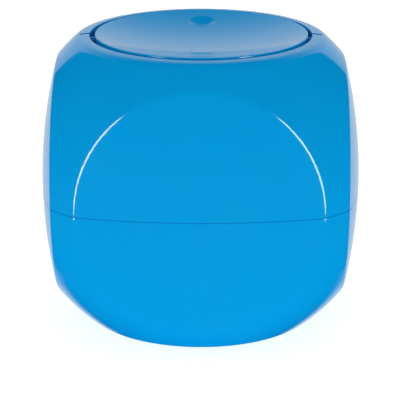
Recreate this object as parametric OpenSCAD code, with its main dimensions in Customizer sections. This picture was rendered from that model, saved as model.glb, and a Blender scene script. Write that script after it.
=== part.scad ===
// Covered sand tub: a round-cornered cube split at mid height into a tub and a hood,
// with a dished round lid that tips on two pins in the hood.
// Millimetres, +Z up, origin on the floor under the middle of the tub, -Y is the front.

/* [Body] */
// Overall width and depth across the crowned side faces
body_w = 480; // [380:1:600]
// How far the ball that rounds the corners would reach beyond each side face
ball_out = 41.5; // [36:0.5:50]
// How far each side face bulges beyond its round edge
crown_h = 24; // [16:1:30]
// How much less than half the width the underside lies below the ball's middle
under_in = 20; // [14:1:26]
// How much less than half the width the land lies above the ball's middle
top_in = 25.5; // [20:0.5:31]
// Width of the land around the lid's opening
land_w = 15.8; // [12:0.1:20]
// Radius of the shallow crown of the land around the lid
land_crown_r = 2000; // [1200:100:4000]
// Wall of the tub and of the hood
wall = 4; // [2.5:0.5:5]

/* [Seam] */
// How far the seam between tub and hood lies below the middle of the ball
seam_drop = 4; // [0:1:20]
// Height of the shadow gap at the seam
seam_gap = 0.8; // [0.4:0.1:1.5]
// Height of the tub's collar above the seam
collar_h = 14; // [8:1:24]
// Thickness of the collar
collar_wall = 3; // [2:0.5:4]
// Gap between the collar and the hood's wall
collar_gap = 0.4; // [0.3:0.1:1]
// How far the collar's root runs down the inside of the tub
collar_root = 44; // [30:1:60]
// Width of the sealing ring in the tub's rim
seal_w = 2.2; // [1.5:0.1:2.6]
// Depth of the sealing ring's rebate in the tub's rim
seal_seat = 1.6; // [1:0.1:2.5]

/* [Lid opening] */
// Running gap between the lid and the opening
lid_gap = 7; // [5:0.5:10]
// Depth of the wall that hangs down around the opening
well_depth = 30; // [26:1:40]
// Thickness of that wall
well_wall = 3.5; // [2.5:0.5:5]

/* [Lid] */
// Radius of the lid's rounded top edge
edge_round = 2; // [1.5:0.5:3]
// How far the lid's edge stands above the land
edge_rise = 1.4; // [0.8:0.1:3]
// Depth of the dish below the lid's edge
dish_depth = 21.4; // [20:0.1:26]
// Thickness of the lid's top skin
lid_skin = 3; // [2:0.5:4]
// Depth of the lid's skirt below the land
skirt_drop = 13; // [11:0.5:16]
// Space between the top skin and the closing plate
lid_space = 6.5; // [6.5:0.1:7]
// Thickness of the closing plate
plate_t = 2; // [1.5:0.1:2.2]
// Side gap between the closing plate and the skirt
plate_gap = 0.3; // [0.2:0.1:0.6]
// Sideways play that the lid has taken up to the right
lid_shift = 1; // [0:0.1:1.2]

/* [Finger dimple] */
// Radius of the dimple's mouth
dimple_r = 19.5; // [14:0.5:24]
// Depth of the dimple
dimple_depth = 6; // [3:0.5:9]
// Distance of the dimple's middle from the lid's rear edge
dimple_in = 43.5; // [36:0.5:60]

/* [Pivot] */
// Radius of the pivot pins
pin_r = 4.5; // [3:0.5:5]
// Radial running clearance of the pins in the hood
pin_fit = 0.06; // [0.03:0.01:0.09]
// Depth of the pins' axis below the land
pin_drop = 10; // [9:0.5:12]
// Length of the slots that take the pins, outwards from the opening
slot_len = 15; // [13:0.5:18]
// Width of each slot's snap-in mouth
slot_mouth = 7.6; // [5:0.2:8]
// Gap between each pin's tip and the end of its slot, with the lid in the middle
pin_end_gap = 1.3; // [1.3:0.1:2.5]
// Radius of the lid's hubs around the pins
hub_r = 8; // [7:0.5:9]
// How far each pin reaches inwards from the lid's edge
pin_hold = 16; // [12:1:22]
// Width of each bearing block under the land
block_w = 20; // [16:1:26]
// How far the stop lugs reach from the pivot axis
lug_reach = 17; // [15:0.5:20]
// Thickness of the stop lugs
lug_t = 6; // [4:0.5:8]
// How far the stop lugs lean to the rear while the lid is shut
lug_lean = 45; // [40:1:50]
// Opening angle at which the lugs meet their ribs
open_angle = 80; // [70:1:84]

/* [Rests] */
// Angle of each rest pad from the front, round the opening
pad_angle = 34; // [20:1:50]
// Radius of the rest pads
pad_r = 4; // [3:0.5:4.5]
// Height of a rest pad above its ledge
pad_rise = 3; // [2:0.5:4]
// Depth of a rest pad's socket
pad_seat = 1.5; // [1:0.5:2]
// Width of each rest ledge
ledge_w = 16; // [12:1:22]
// Thickness of each rest ledge and stop rib
ledge_t = 7; // [5:1:9]

/* [Lid screws] */
// Number of screws that hold the closing plate
screw_n = 6; // [4:1:8]
// Distance of the screws from the lid's edge
screw_in = 67.5; // [60:0.5:90]
// Radius of a screw's shank
screw_r = 2; // [1.5:0.5:2.5]
// Length of a screw's shank
screw_len = 8; // [7:0.5:9]
// Radius of a screw's head
screw_head_r = 4; // [3.5:0.5:5]
// Height of a screw's head
screw_head_h = 2.4; // [2:0.1:3]

/* [Feet] */
// Radius of the rubber feet
foot_r = 15; // [10:1:20]
// How far the feet stand out below the tub
foot_reach = 2; // [1:0.5:4]
// Depth of the feet's pockets in the tub's floor
foot_seat = 1.5; // [1:0.5:2]
// Distance of the feet's centres from the edge of the flat underside
foot_in = 34.2; // [24:0.2:60]

/* [Hidden] */
$fn = 256;

small_fn = 64;
cut = 1;                      // how far a cutting tool runs past what it cuts
fit = 0.02;                   // radial gap of a piece that is held fast in its hole
shell_blue = [0.0, 0.55, 0.82];
lid_blue = [0.05, 0.58, 0.85];
seal_blue = [0.02, 0.40, 0.66];
rubber_grey = [0.16, 0.17, 0.18];
steel_grey = [0.72, 0.73, 0.75];
pin_blue = [0.10, 0.45, 0.72];

// Body
half_w = body_w / 2;
ball_r = half_w + ball_out;
crease_plane = half_w - crown_h;
face_r = sqrt(ball_r * ball_r - crease_plane * crease_plane);
cap_r = (face_r * face_r + crown_h * crown_h) / (2 * crown_h);
under_depth = half_w - under_in;
top_height = half_w - top_in;
under_face_r = sqrt(ball_r * ball_r - under_depth * under_depth);
opening_r = sqrt(ball_r * ball_r - top_height * top_height) - land_w;
foot_place = (under_face_r - foot_in) * cos(45);
centre_z = foot_reach + under_depth;
land_z = centre_z + top_height;
crown_top_z = land_z - sqrt(land_crown_r * land_crown_r - opening_r * opening_r);
seam_z = centre_z - seam_drop;
collar_in = wall + collar_gap;
reach = body_w;               // larger than the body, for slabs that cut it

// Lid, with heights counted from the land
lid_r = opening_r - lid_gap;
round_ring_r = lid_r - edge_round;
round_z = edge_rise - edge_round;
dish_bottom = edge_rise - dish_depth;
round_above_dish = round_z - dish_bottom;
dish_r = (round_ring_r * round_ring_r + round_above_dish * round_above_dish
          - edge_round * edge_round) / (2 * (round_above_dish + edge_round));
dish_centre = dish_bottom + dish_r;
blend_angle = atan(round_ring_r / (dish_centre - round_z));
plate_in = lid_skin + lid_space;
plate_out = plate_in + plate_t;
plate_r = lid_r - lid_skin - plate_gap;
rim_bottom = -skirt_drop;
plate_flat_r = sqrt(pow(dish_r + plate_out, 2) - pow(dish_centre - rim_bottom, 2));
lid_deep = dish_bottom - 2 * plate_out;    // below everything in the lid

// Dimple: a shallow bowl sunk square to the dish
dimple_y = lid_r - dimple_in;
dimple_ball_r = (dimple_r * dimple_r + dimple_depth * dimple_depth) / (2 * dimple_depth);
dimple_angle = asin(dimple_y / dish_r);
dimple_centre = dish_r + dimple_depth - dimple_ball_r;

// Pivot
pin_z = -pin_drop;
slot_end = opening_r + slot_len;
pin_tip = slot_end - pin_end_gap;
pin_root = lid_r - pin_hold;
block_end = slot_end + wall;
lug_x = lid_r - 2 - lug_t;
hub_cover = 1;                // lid material over the hubs
hub_web = 6;                  // width of the web over each hub
rib_in = lug_x - 2;
lug_end_angle = open_angle - lug_lean;
rib_face = lug_reach * sin(lug_end_angle) + lug_t / 2 * cos(lug_end_angle) + pin_fit;
rib_top = rim_bottom - 0.6;

// Rests
pad_ring_r = lid_r - 1 - pad_r;
ledge_top = rim_bottom - pad_rise;

// Screws
screw_ring_r = lid_r - screw_in;
boss_z = dish_centre - sqrt(pow(dish_r + plate_in, 2) - screw_ring_r * screw_ring_r) + 1.6;
boss_r = screw_r + 3.5;
seat_t = 3.2;                 // plate material under a screw's head
seat_r = screw_head_r + 2.6;
head_gap = 0.4;
seat_z = boss_z - seat_t;
bore_top = seat_z + screw_len + 0.5;

// Heights between low and high, wider than the body
module slab(low, high) {
    translate([-reach, -reach, low])
        cube([2 * reach, 2 * reach, high - low]);
}

// Large ball whose surface is one crowned side face, taken in by inset.
// Each ball is turned so that its poles and its seam lie clear of the faces.
module face_ball(turn, inset) {
    rotate([0, 0, turn])
        translate([half_w - cap_r, 0, centre_z])
            rotate([0, 0, 180])
                sphere(cap_r - inset);
}

// Round-cornered cube with crowned faces, taken in all round by inset
module dice(inset) {
    intersection() {
        translate([0, 0, centre_z])
            rotate([0, 0, 45])
                sphere(ball_r - inset);
        face_ball(0, inset);
        face_ball(90, inset);
        face_ball(180, inset);
        face_ball(270, inset);
        translate([0, 0, crown_top_z])
            rotate([90, 0, 0])
                sphere(land_crown_r - inset);
        slab(foot_reach + inset, land_z + reach);
    }
}

// The dice's wall between two insets and two heights
module dice_ring(outer, inner, low, high) {
    difference() {
        intersection() {
            dice(outer);
            slab(low, high);
        }
        intersection() {
            dice(inner);
            slab(low - cut, high + cut);
        }
    }
}

module base_tub() {
    color(shell_blue)
        difference() {
            union() {
                intersection() {
                    dice(0);
                    slab(0, seam_z);
                }
                intersection() {
                    dice(collar_in);
                    slab(seam_z - cut, seam_z + collar_h);
                }
            }
            intersection() {
                dice(wall);
                slab(0, seam_z - collar_root);
            }
            intersection() {
                dice(collar_in + collar_wall);
                slab(seam_z - collar_root - cut, seam_z + collar_h + cut);
            }
            dice_ring(wall - seal_w, collar_in, seam_z - seal_seat, seam_z + cut);
            at_feet()
                translate([0, 0, -cut])
                    cylinder(h = foot_reach + foot_seat + cut, r = foot_r + fit);
        }
}

// Soft ring in the tub's rim that the hood's edge lies on
module tub_rim_seal() {
    color(seal_blue)
        dice_ring(wall - seal_w, wall, seam_z - seal_seat, seam_z + seam_gap);
}

module at_feet() {
    for (x = [-1, 1], y = [-1, 1])
        at_foot(x, y)
            children();
}

module at_foot(x, y) {
    translate([x * foot_place, y * foot_place, 0])
        children();
}

module foot(x, y) {
    color(rubber_grey)
        at_foot(x, y)
            difference() {
                cylinder(h = foot_reach + foot_seat, r = foot_r);
                translate([0, 0, -cut])
                    cylinder(h = foot_reach / 2 + cut, r = foot_r / 2);
            }
}

module foot_front_left() {
    foot(-1, -1);
}

module foot_front_right() {
    foot(1, -1);
}

module foot_rear_left() {
    foot(-1, 1);
}

module foot_rear_right() {
    foot(1, 1);
}

// A child placed at height zero of the land
module on_land() {
    translate([0, 0, land_z])
        children();
}

// A child on the left (-1) or on the right (1), made as the right one
module on_side(side) {
    mirror([side < 0 ? 1 : 0, 0, 0])
        children();
}

// A bar lying along X from x0 to x1 at the pivot's height
module pivot_rod(x0, x1, r) {
    translate([x0, 0, pin_z])
        rotate([0, 90, 0])
            cylinder(h = x1 - x0, r = r, $fn = small_fn);
}

// Ledge under the lid's front edge, with a socket for its pad
module rest_ledge(side) {
    rotate([0, 0, -90 + side * pad_angle])
        translate([pad_ring_r - pad_r - 2, -ledge_w / 2, ledge_top - ledge_t])
            cube([opening_r + 1 - pad_ring_r + pad_r + 2, ledge_w, ledge_t]);
}

module at_pad(side) {
    rotate([0, 0, -90 + side * pad_angle])
        translate([pad_ring_r, 0, ledge_top])
            children();
}

// Rib that stops the lid's lug when the lid stands open
module stop_rib() {
    translate([rib_in, -rib_face - ledge_t, rib_top - ledge_t - lug_t])
        cube([opening_r + 1 - rib_in, ledge_t, ledge_t + lug_t]);
}

module hood_shell() {
    color(shell_blue)
        difference() {
            union() {
                dice_ring(0, wall, seam_z + seam_gap, land_z + cut);
                intersection() {
                    dice(wall / 2);
                    on_land()
                        union() {
                            translate([0, 0, -well_depth])
                                cylinder(h = well_depth + cut, r = opening_r + well_wall);
                            for (side = [-1, 1])
                                on_side(side)
                                    translate([opening_r, -block_w / 2, pin_z - block_w / 2])
                                        cube([block_end - opening_r, block_w, block_w]);
                        }
                }
            }
            difference() {
                translate([0, 0, land_z - well_depth - cut])
                    cylinder(h = well_depth + 2 * cut + edge_rise, r = opening_r);
                on_land()
                    for (side = [-1, 1]) {
                        rest_ledge(side);
                        on_side(side)
                            stop_rib();
                    }
            }
            on_land()
                for (side = [-1, 1]) {
                    at_pad(side)
                        translate([0, 0, -pad_seat])
                            cylinder(h = pad_seat + cut, r = pad_r + fit, $fn = small_fn);
                    on_side(side) {
                        pivot_rod(opening_r - cut, slot_end, pin_r + pin_fit);
                        translate([opening_r - cut, -slot_mouth / 2, pin_z])
                            cube([slot_len + cut, slot_mouth, pin_drop + cut]);
                    }
                }
        }
}

module stop_pad(side) {
    color(rubber_grey)
        on_land()
            at_pad(side)
                translate([0, 0, -pad_seat])
                    cylinder(h = pad_seat + pad_rise, r = pad_r, $fn = small_fn);
}

module stop_pad_left() {
    stop_pad(-1);
}

module stop_pad_right() {
    stop_pad(1);
}

// A child placed on the lid, at height zero of the land
module on_lid() {
    translate([lid_shift, 0, land_z])
        children();
}

// Everything under the lid's surface, taken in by depth, as a half section
module lid_section(depth) {
    edge_r = lid_r - depth;
    round_r = max(edge_round - depth, 0);
    blend_r = round_r > 0 ? round_ring_r - round_r * sin(blend_angle) : edge_r;
    difference() {
        translate([0, lid_deep])
            square([blend_r, edge_rise - lid_deep]);
        translate([0, dish_centre])
            circle(dish_r + depth);
    }
    if (round_r > 0) {
        translate([round_ring_r, round_z])
            circle(round_r);
        translate([blend_r, lid_deep])
            square([edge_r - blend_r, round_z - lid_deep]);
    }
}

// The lid's skin, from its surface down to the given depth
module skin(depth) {
    rotate_extrude()
        intersection() {
            difference() {
                lid_section(0);
                lid_section(depth);
            }
            union() {
                translate([0, lid_deep])
                    square([lid_r - lid_skin - cut, edge_rise - lid_deep + cut]);
                translate([0, rim_bottom])
                    square([lid_r + cut, edge_rise - rim_bottom + cut]);
            }
        }
}

// A ball about the dish's centre of curvature, larger than the dish by depth
module dish_ball(depth) {
    translate([0, 0, dish_centre])
        sphere(dish_r + depth);
}

module dimple_ball(extra) {
    translate([0, 0, dish_centre])
        rotate([dimple_angle, 0, 0])
            translate([0, 0, -dimple_centre])
                sphere(dimple_ball_r + extra);
}

module at_screws() {
    for (i = [0 : screw_n - 1])
        rotate([0, 0, (i + 0.5) * 360 / screw_n])
            translate([screw_ring_r, 0, 0])
                children();
}

// Hub around a pin, with the lug that stops the lid
module hub() {
    pivot_rod(pin_root, lid_r - 0.5, hub_r);
    translate([lug_x, 0, pin_z])
        rotate([lug_lean, 0, 0])
            translate([0, -lug_t / 2, -lug_reach])
                cube([lug_t, lug_t, lug_reach]);
    translate([pin_root, -hub_r, pin_z])
        cube([hub_web, 2 * hub_r, -pin_z]);
}

module lid_top() {
    color(lid_blue)
        on_lid()
            difference() {
                union() {
                    skin(lid_skin);
                    difference() {
                        union() {
                            dimple_ball(lid_skin);
                            at_screws()
                                translate([0, 0, boss_z])
                                    cylinder(h = lid_space + lid_skin, r = boss_r,
                                             $fn = small_fn);
                        }
                        dish_ball(lid_skin / 2);
                    }
                    intersection() {
                        for (side = [-1, 1])
                            on_side(side)
                                hub();
                        rotate_extrude()
                            lid_section(hub_cover);
                    }
                }
                dimple_ball(0);
                at_screws()
                    translate([0, 0, boss_z - cut])
                        cylinder(h = bore_top - boss_z + cut, r = screw_r + fit,
                                 $fn = small_fn);
                for (side = [-1, 1])
                    on_side(side)
                        pivot_rod(pin_root, lid_r + cut, pin_r + fit);
            }
}

// The closing plate as a half section: a dished sheet with a flat rim
module plate_section() {
    intersection() {
        difference() {
            translate([0, dish_centre])
                circle(dish_r + plate_out);
            translate([0, dish_centre])
                circle(dish_r + plate_in);
        }
        translate([0, lid_deep])
            square([plate_flat_r, -lid_deep]);
    }
    translate([plate_flat_r - cut, rim_bottom])
        square([plate_r - plate_flat_r + cut, plate_t]);
}

module lid_under() {
    color(lid_blue)
        on_lid()
            difference() {
                union() {
                    rotate_extrude()
                        plate_section();
                    at_screws()
                        translate([0, 0, seat_z - screw_head_h])
                            cylinder(h = seat_t + screw_head_h, r = seat_r, $fn = small_fn);
                }
                at_screws() {
                    translate([0, 0, lid_deep])
                        cylinder(h = -lid_deep, r = screw_r + fit, $fn = small_fn);
                    translate([0, 0, lid_deep])
                        cylinder(h = seat_z - lid_deep, r = screw_head_r + head_gap,
                                 $fn = small_fn);
                }
                for (side = [-1, 1])
                    on_side(side)
                        translate([pin_root - plate_gap, -hub_r - plate_gap, lid_deep])
                            cube([lid_r, 2 * (hub_r + plate_gap), -lid_deep]);
            }
}

module lid_screws() {
    color(steel_grey)
        on_lid()
            at_screws() {
                translate([0, 0, seat_z])
                    cylinder(h = screw_len, r = screw_r, $fn = small_fn);
                difference() {
                    translate([0, 0, seat_z - screw_head_h])
                        cylinder(h = screw_head_h, r = screw_head_r, $fn = small_fn);
                    translate([0, 0, seat_z - screw_head_h])
                        cylinder(h = screw_head_h, r = screw_r, center = true, $fn = 6);
                }
            }
}

module pivot_pin(side) {
    color(pin_blue)
        on_lid()
            on_side(side)
                pivot_rod(pin_root, pin_tip, pin_r);
}

module pivot_pin_left() {
    pivot_pin(-1);
}

module pivot_pin_right() {
    pivot_pin(1);
}

base_tub();
tub_rim_seal();
foot_front_left();
foot_front_right();
foot_rear_left();
foot_rear_right();
hood_shell();
stop_pad_left();
stop_pad_right();
lid_top();
lid_under();
lid_screws();
pivot_pin_left();
pivot_pin_right();
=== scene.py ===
"""Looks of the covered sand tub: glossy moulded shells, a dished tipping lid, and its trim.

Every length is in metres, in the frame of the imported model: +Z up, -Y the front, and the origin on
the floor under the middle of the tub.
"""

import logging
import math
from collections.abc import Iterator
from contextlib import contextmanager
from dataclasses import dataclass, field
from enum import Enum

import bmesh
import bpy
import numpy as np
from mathutils import Matrix, Vector


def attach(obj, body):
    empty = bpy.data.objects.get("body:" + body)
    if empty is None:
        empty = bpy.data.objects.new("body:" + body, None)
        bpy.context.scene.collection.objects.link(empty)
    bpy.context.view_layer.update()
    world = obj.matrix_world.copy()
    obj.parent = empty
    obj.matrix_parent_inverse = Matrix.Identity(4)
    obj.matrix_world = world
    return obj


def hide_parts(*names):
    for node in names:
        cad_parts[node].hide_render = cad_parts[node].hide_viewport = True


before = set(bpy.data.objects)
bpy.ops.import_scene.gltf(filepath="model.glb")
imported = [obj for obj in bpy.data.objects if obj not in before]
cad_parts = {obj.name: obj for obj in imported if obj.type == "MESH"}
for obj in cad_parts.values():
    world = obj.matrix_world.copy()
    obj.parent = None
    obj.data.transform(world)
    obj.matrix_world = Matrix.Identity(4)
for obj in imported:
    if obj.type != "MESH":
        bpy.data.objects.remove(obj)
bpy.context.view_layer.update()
log = logging.getLogger("sand_tub")

Point = tuple[float, float, float]
Profile = list[tuple[float, float]]

WELD = 2e-5
SHEET_WELD = 4e-5


class Side(Enum):
    """The left and the right of the tub, as seen from the front."""

    LEFT = -1
    RIGHT = 1


class Half(Enum):
    """The two halves of the round-cornered cube."""

    HOOD = 1
    TUB = -1


# ----------------------------------------------------------------------------------------------
# Mesh helpers
# ----------------------------------------------------------------------------------------------


@dataclass
class Sheet:
    """Vertices and faces that grow together before they become a mesh.

    Attributes:
        verts: The points, in metres.
        faces: Each face as indices of its points, counter-clockwise from outside.
    """

    verts: list[Point] = field(default_factory=list)
    faces: list[tuple[int, ...]] = field(default_factory=list)

    def add_rows(self, rows: list[np.ndarray], closed: bool, flip: bool = False) -> None:
        """Adds a band of quads between each row of points and the next.

        Args:
            rows: Arrays of N x 3 points, all of one length.
            closed: True if each row ends where it began.
            flip: True to turn the faces the other way round.
        """
        count = len(rows[0])
        start = len(self.verts)
        for row in rows:
            self.verts += [tuple(map(float, point)) for point in row]
        steps = count if closed else count - 1
        for r in range(len(rows) - 1):
            for i in range(steps):
                j = (i + 1) % count
                a, b = start + r * count, start + (r + 1) * count
                quad = (a + i, a + j, b + j, b + i)
                self.faces.append(quad[::-1] if flip else quad)

    def add_fan(self, hub: Point, row: np.ndarray, closed: bool, flip: bool = False) -> None:
        """Adds triangles from one point to each pair of neighbours in a row.

        Args:
            hub: The point that all the triangles share.
            row: Array of N x 3 points.
            closed: True if the row ends where it began.
            flip: True to turn the faces the other way round.
        """
        start = len(self.verts)
        self.verts.append(tuple(map(float, hub)))
        self.verts += [tuple(map(float, point)) for point in row]
        count = len(row)
        for i in range(count if closed else count - 1):
            triangle = (start, start + 1 + i, start + 1 + (i + 1) % count)
            self.faces.append(triangle[::-1] if flip else triangle)

    def to_object(self, name: str) -> bpy.types.Object:
        """Turns the sheet into an object whose neighbouring bands are welded together.

        Args:
            name: Name of the object.

        Returns:
            The new object, linked to the scene.
        """
        mesh = bpy.data.meshes.new(name)
        mesh.from_pydata(self.verts, [], self.faces)
        with editing(mesh) as work:
            bmesh.ops.remove_doubles(work, verts=work.verts, dist=WELD)
            bmesh.ops.dissolve_degenerate(work, dist=1e-7, edges=work.edges)
        return link(bpy.data.objects.new(name, mesh))


@contextmanager
def editing(mesh: bpy.types.Mesh) -> Iterator[bmesh.types.BMesh]:
    """Opens a mesh for editing, and writes it back at the end.

    Args:
        mesh: The mesh.

    Yields:
        Its editable form.
    """
    work = bmesh.new()
    work.from_mesh(mesh)
    yield work
    work.to_mesh(mesh)
    work.free()


def link(thing: bpy.types.Object) -> bpy.types.Object:
    """Links an object to the scene and returns it."""
    bpy.context.scene.collection.objects.link(thing)
    return thing


def ring(radius: float, height: float, angles: np.ndarray) -> np.ndarray:
    """A row of points round the Z axis.

    Args:
        radius: Radius of the row.
        height: Height of the row.
        angles: Angles of its points, in radians.

    Returns:
        An N x 3 array.
    """
    level = np.full(len(angles), height)
    return np.stack([radius * np.cos(angles), radius * np.sin(angles), level], 1)


def lathe(name: str, profile: Profile, columns: int) -> bpy.types.Object:
    """Turns a closed outline round the Z axis.

    Args:
        name: Name of the object.
        profile: Radius and height of each point, from the axis over the top to the axis below.
        columns: Number of columns round the axis.

    Returns:
        The closed solid.
    """
    angles = -np.arange(columns) * math.tau / columns
    sheet = Sheet()
    rows = [ring(max(r, 0.0), z, angles) for r, z in profile if r > 1e-6]
    sheet.add_rows(rows, closed=True)
    if profile[0][0] <= 1e-6:
        sheet.add_fan((0, 0, profile[0][1]), rows[0], closed=True)
    if profile[-1][0] <= 1e-6:
        sheet.add_fan((0, 0, profile[-1][1]), rows[-1], closed=True, flip=True)
    return sheet.to_object(name)


def arc(centre: tuple[float, float], radius: float, start: float, stop: float,
        steps: int) -> Profile:
    """Points on an arc of a profile.

    Args:
        centre: Centre of the arc.
        radius: Radius of the arc.
        start: First angle in degrees, counted from outwards to upwards.
        stop: Last angle in degrees.
        steps: Number of pieces that the arc is cut into.

    Returns:
        The points, both ends included.
    """
    angles = np.radians(np.linspace(start, stop, steps + 1))
    return [(centre[0] + radius * math.cos(a), centre[1] + radius * math.sin(a)) for a in angles]


def rings(profile: Profile, angles: np.ndarray) -> list[np.ndarray]:
    """One row of points round the Z axis for each point of a profile."""
    return [ring(r, z, angles) for r, z in profile]


def block(name: str, low: Point, high: Point, soften: float) -> bpy.types.Object:
    """A box between two corners with rounded edges.

    Args:
        name: Name of the object.
        low: Its lowest corner.
        high: Its highest corner.
        soften: Radius of the edges.

    Returns:
        The box.
    """
    made = bmesh.new()
    bmesh.ops.create_cube(made, size=1)
    for vert in made.verts:
        vert.co = Vector(low[i] + (vert.co[i] + 0.5) * (high[i] - low[i]) for i in range(3))
    if soften > 0:
        bmesh.ops.bevel(made, geom=made.edges[:], offset=soften, segments=3, affect="EDGES",
                        profile=0.5)
    mesh = bpy.data.meshes.new(name)
    made.to_mesh(mesh)
    made.free()
    return link(bpy.data.objects.new(name, mesh))


def place(thing: bpy.types.Object, matrix: Matrix) -> bpy.types.Object:
    """Moves an object's mesh, and leaves the object itself at the origin.

    Args:
        thing: The object.
        matrix: Where its mesh goes.

    Returns:
        The same object.
    """
    thing.data.transform(matrix)
    if matrix.determinant() < 0:
        thing.data.flip_normals()
    return thing


def on_side(side: Side) -> Matrix:
    """The matrix that leaves a right-hand piece as it is, or mirrors it to the left."""
    return Matrix.Diagonal((side.value, 1, 1, 1))


def along_x(start: float, height: float) -> Matrix:
    """The matrix that lays a turned piece along X.

    Args:
        start: Where its foot goes, along X.
        height: Height of its axis.

    Returns:
        The matrix.
    """
    return Matrix.Translation((start, 0, height)) @ Matrix.Rotation(math.pi / 2, 4, "Y")


def freeze(thing: bpy.types.Object) -> bpy.types.Object:
    """Puts the result of an object's modifiers into its mesh, and removes them.

    Args:
        thing: The object with its modifiers.

    Returns:
        The same object, with a plain mesh.
    """
    graph = bpy.context.evaluated_depsgraph_get()
    result = bpy.data.meshes.new_from_object(thing.evaluated_get(graph))
    thing.modifiers.clear()
    thing.data = result
    return thing


def combine(thing: bpy.types.Object, other: bpy.types.Object, operation: str) -> None:
    """Joins another solid to this one, or cuts it away, and uses the other one up.

    Args:
        thing: The solid that is changed.
        other: The tool.
        operation: UNION or DIFFERENCE.
    """
    modifier = thing.modifiers.new("combine", "BOOLEAN")
    modifier.operation = operation
    modifier.solver = "EXACT"
    modifier.object = other
    freeze(thing)
    bpy.data.objects.remove(other)


def join(things: list[bpy.types.Object]) -> bpy.types.Object:
    """Puts the meshes of several objects into the first one.

    Args:
        things: The objects, the first of which stays.

    Returns:
        The first object.
    """
    first, *others = things
    with editing(first.data) as together:
        for other in others:
            together.from_mesh(other.data)
    for other in others:
        bpy.data.objects.remove(other)
    return first


def weld(thing: bpy.types.Object, distance: float) -> None:
    """Welds points of an object's mesh that lie closer than a distance."""
    with editing(thing.data) as work:
        bmesh.ops.remove_doubles(work, verts=work.verts, dist=distance)


def turn_out(thing: bpy.types.Object) -> bpy.types.Object:
    """Makes the faces of a closed mesh point outwards, and returns its object."""
    with editing(thing.data) as work:
        bmesh.ops.recalc_face_normals(work, faces=work.faces)
    return thing


def smooth(thing: bpy.types.Object, angle: float = 32.0) -> bpy.types.Object:
    """Shades an object smooth, with edges sharper than an angle kept crisp.

    Args:
        thing: The object.
        angle: The angle, in degrees.

    Returns:
        The same object.
    """
    thing.data.shade_smooth()
    thing.data.set_sharp_from_angle(angle=math.radians(angle))
    return thing


def send(thing: bpy.types.Object, body: str, material: bpy.types.Material,
         nodes: list[str]) -> bpy.types.Object:
    """Gives a finished piece its material, its body and the CAD nodes that it stands for.

    Args:
        thing: The piece.
        body: Name of the CAD body that it rides on.
        material: The material.
        nodes: The CAD nodes that it replaces.

    Returns:
        The same piece.
    """
    thing.data.materials.clear()
    thing.data.materials.append(material)
    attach(thing, body)
    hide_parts(*nodes)
    log.info("%s: %d faces, rides on %s, stands for %s", thing.name, len(thing.data.polygons),
             body, ", ".join(nodes))
    return thing


# ----------------------------------------------------------------------------------------------
# Node helpers
# ----------------------------------------------------------------------------------------------


class Wiring:
    """Adds nodes to a tree and joins them, one short call each."""

    def __init__(self, tree: bpy.types.NodeTree) -> None:
        """Keeps the tree.

        Args:
            tree: The node tree that grows.
        """
        self.tree = tree

    def node(self, kind: str, inputs: dict[str | int, object] | None = None,
             **settings: object) -> bpy.types.Node:
        """Adds a node with the given settings and inputs.

        Args:
            kind: Blender's name for the node's type.
            inputs: What goes into its sockets, by their names or numbers.
            **settings: Properties of the node.

        Returns:
            The node.
        """
        made = self.tree.nodes.new(kind)
        for name, value in settings.items():
            setattr(made, name, value)
        return self.fill(made, inputs or {})

    def fill(self, node: bpy.types.Node, inputs: dict[str | int, object]) -> bpy.types.Node:
        """Joins sockets of a node to others, or sets them to constants.

        Args:
            node: The node.
            inputs: An output socket, a number, a colour or a vector for each socket.

        Returns:
            The same node.
        """
        for key, value in inputs.items():
            if isinstance(value, bpy.types.NodeSocket):
                self.tree.links.new(value, node.inputs[key])
            else:
                node.inputs[key].default_value = value
        return node

    def math(self, operation: str, *values: object) -> bpy.types.NodeSocket:
        """Adds a Math node.

        Args:
            operation: Blender's name for the operation.
            *values: Its inputs, as sockets or numbers.

        Returns:
            The node's output.
        """
        inputs = dict(enumerate(values))
        return self.node("ShaderNodeMath", inputs, operation=operation).outputs[0]

    def spread(self, value: object, low: float, high: float, to_low: float, to_high: float,
               shape: str = "LINEAR") -> bpy.types.NodeSocket:
        """Adds a Map Range node that doesn't run past its ends.

        Args:
            value: The number that is mapped.
            low: Start of its range.
            high: End of its range.
            to_low: What the start becomes.
            to_high: What the end becomes.
            shape: Blender's name for the curve between them.

        Returns:
            The mapped number.
        """
        inputs = dict(enumerate((value, low, high, to_low, to_high)))
        return self.node("ShaderNodeMapRange", inputs, interpolation_type=shape).outputs[0]

    def noise(self, position: object, scale: object, detail: float = 2.0) -> bpy.types.NodeSocket:
        """Adds a noise texture.

        Args:
            position: Where it is read.
            scale: How fine it is.
            detail: How many finer layers it has.

        Returns:
            The noise, from 0 to 1.
        """
        inputs = {"Vector": position, "Scale": scale, "Detail": detail}
        return self.node("ShaderNodeTexNoise", inputs).outputs[0]

    def mix(self, kind: str, factor: object, a: object, b: object) -> bpy.types.NodeSocket:
        """Adds a Mix node.

        Args:
            kind: Blender's name for the type of what is mixed.
            factor: Share of the second value.
            a: The first value.
            b: The second value.

        Returns:
            The mixture.
        """
        inputs = {"Factor": factor, "A": a, "B": b}
        return self.node("ShaderNodeMix", inputs, data_type=kind).outputs["Result"]


# ----------------------------------------------------------------------------------------------
# Finishes
# ----------------------------------------------------------------------------------------------


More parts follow.
